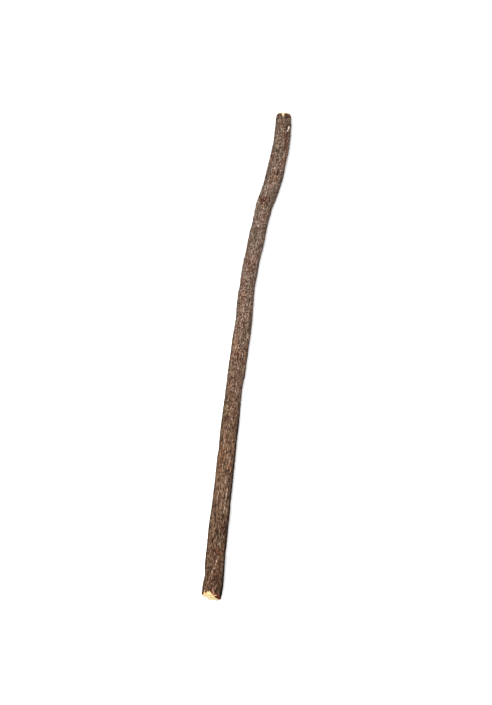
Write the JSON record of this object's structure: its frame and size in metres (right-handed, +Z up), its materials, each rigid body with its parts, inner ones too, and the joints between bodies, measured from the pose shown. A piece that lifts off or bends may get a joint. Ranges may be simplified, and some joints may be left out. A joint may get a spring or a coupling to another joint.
{
  "type": "miswak stick",
  "caption": "Short cut length of thin dried root in its wrinkled bark, gently bent, cut across at both ends; lies on its side.",
  "frame": {"origin": "on the surface that the stick lies on, under the middle of its bounding box", "axes": "+X along the stick towards its thinner, bent tip; +Z up from the surface that it lies on; the bend bulges to +Y"},
  "size_m": [0.181, 0.0106, 0.0069],
  "materials": {
    "bark": "dry, wrinkled grey-brown root bark",
    "cut_wood": "raw fibrous cream-yellow root wood"
  },
  "bodies": {
    "root": {"stick": "bark"}
  },
  "joints": []
}
